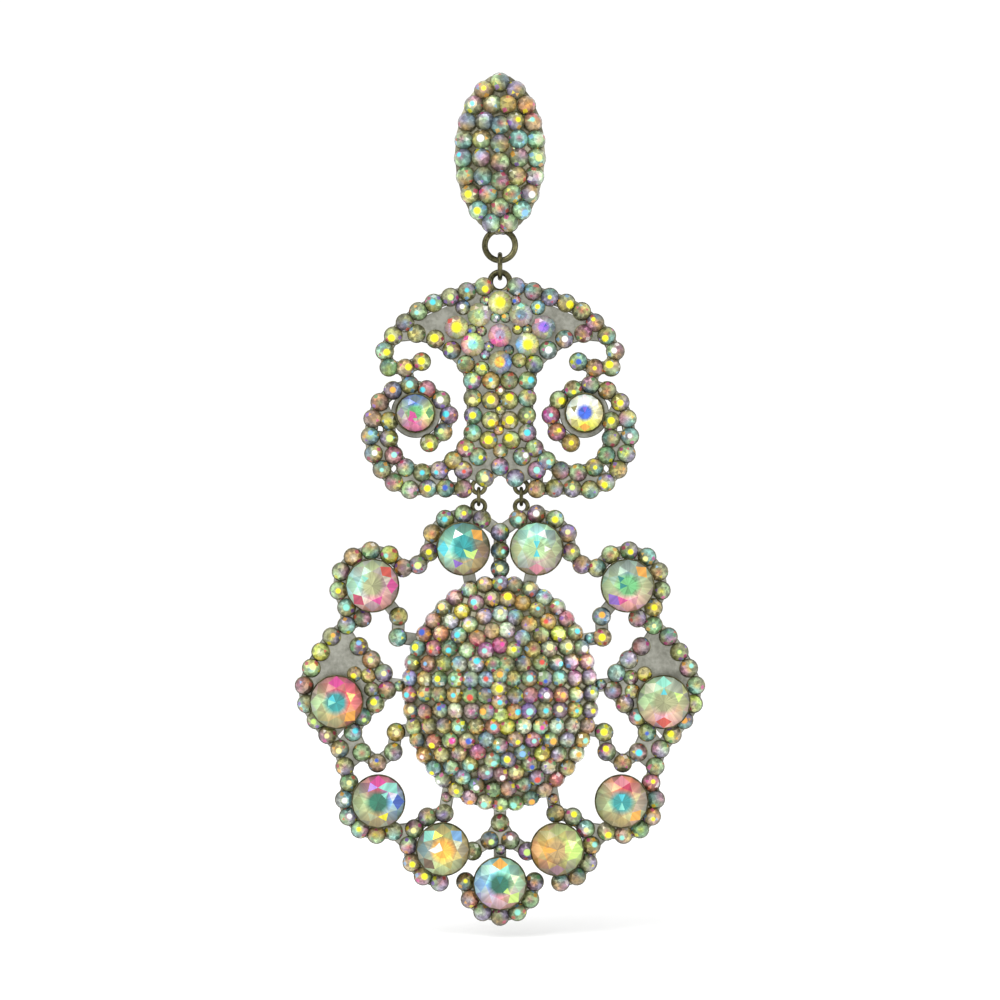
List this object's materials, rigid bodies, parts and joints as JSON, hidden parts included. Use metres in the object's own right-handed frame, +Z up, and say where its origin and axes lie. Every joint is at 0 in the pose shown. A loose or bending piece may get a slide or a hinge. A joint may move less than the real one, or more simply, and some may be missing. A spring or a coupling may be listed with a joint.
{
  "type": "chandelier earring",
  "caption": "Long drop earring: a stone-set oval stud, a pierced scroll motif and a round pierced medallion with a domed centre, hung in a chain.",
  "frame": {"origin": "where the ear post meets the flat back of the stud", "axes": "+Z up along the hanging drop, -Y out of the front, +X to the right as seen from the front"},
  "size_m": [0.0484, 0.0154, 0.1],
  "materials": {
    "dark_metal": "dark olive gunmetal, satin",
    "post_metal": "plain steel, satin",
    "field_crystal": "cut glass with a rainbow coat, foiled back",
    "big_crystal": "cut glass with a rainbow coat, foiled back",
    "small_crystal": "small cut glass stones with a rainbow coat"
  },
  "bodies": {
    "stud": {"stud_frame": "dark_metal", "ear_post": "post_metal"},
    "link": {"top_link": "dark_metal"},
    "scroll": {"scroll_frame": "dark_metal", "scroll_stone_1": "field_crystal", "scroll_stone_2": "field_crystal", "scroll_stone_3": "field_crystal", "scroll_stone_4": "field_crystal", "scroll_stone_5": "field_crystal", "scroll_stone_6": "field_crystal", "scroll_stone_7": "field_crystal", "scroll_stone_8": "field_crystal", "scroll_stone_9": "field_crystal", "scroll_eye_stone_left": "field_crystal", "scroll_eye_stone_right": "field_crystal"},
    "medallion": {"medallion_frame": "dark_metal", "medallion_dome": "dark_metal", "joining_ring_left": "dark_metal", "joining_ring_right": "dark_metal", "petal_stone_1": "big_crystal", "petal_stone_2": "big_crystal", "petal_stone_3": "big_crystal", "petal_stone_4": "big_crystal", "petal_stone_5": "big_crystal", "petal_stone_6": "big_crystal", "petal_stone_7": "big_crystal", "petal_stone_8": "big_crystal", "petal_stone_9": "big_crystal", "petal_stone_10": "big_crystal", "petal_stone_11": "big_crystal"}
  },
  "joints": [
    {"name": "link_swing", "type": "hinge", "parent": "stud", "child": "link", "pos_m": [0, -0.00045, -0.01247], "axis": [1, 0, 0], "range_deg": [-60, 60]},
    {"name": "drop_sway", "type": "hinge", "parent": "link", "child": "scroll", "pos_m": [0, -0.00045, -0.01456], "axis": [0, 1, 0], "range_deg": [-15, 15]},
    {"name": "medallion_swing", "type": "hinge", "parent": "scroll", "child": "medallion", "pos_m": [0, -0.00045, -0.03979], "axis": [1, 0, 0], "range_deg": [-25, 25]}
  ]
}
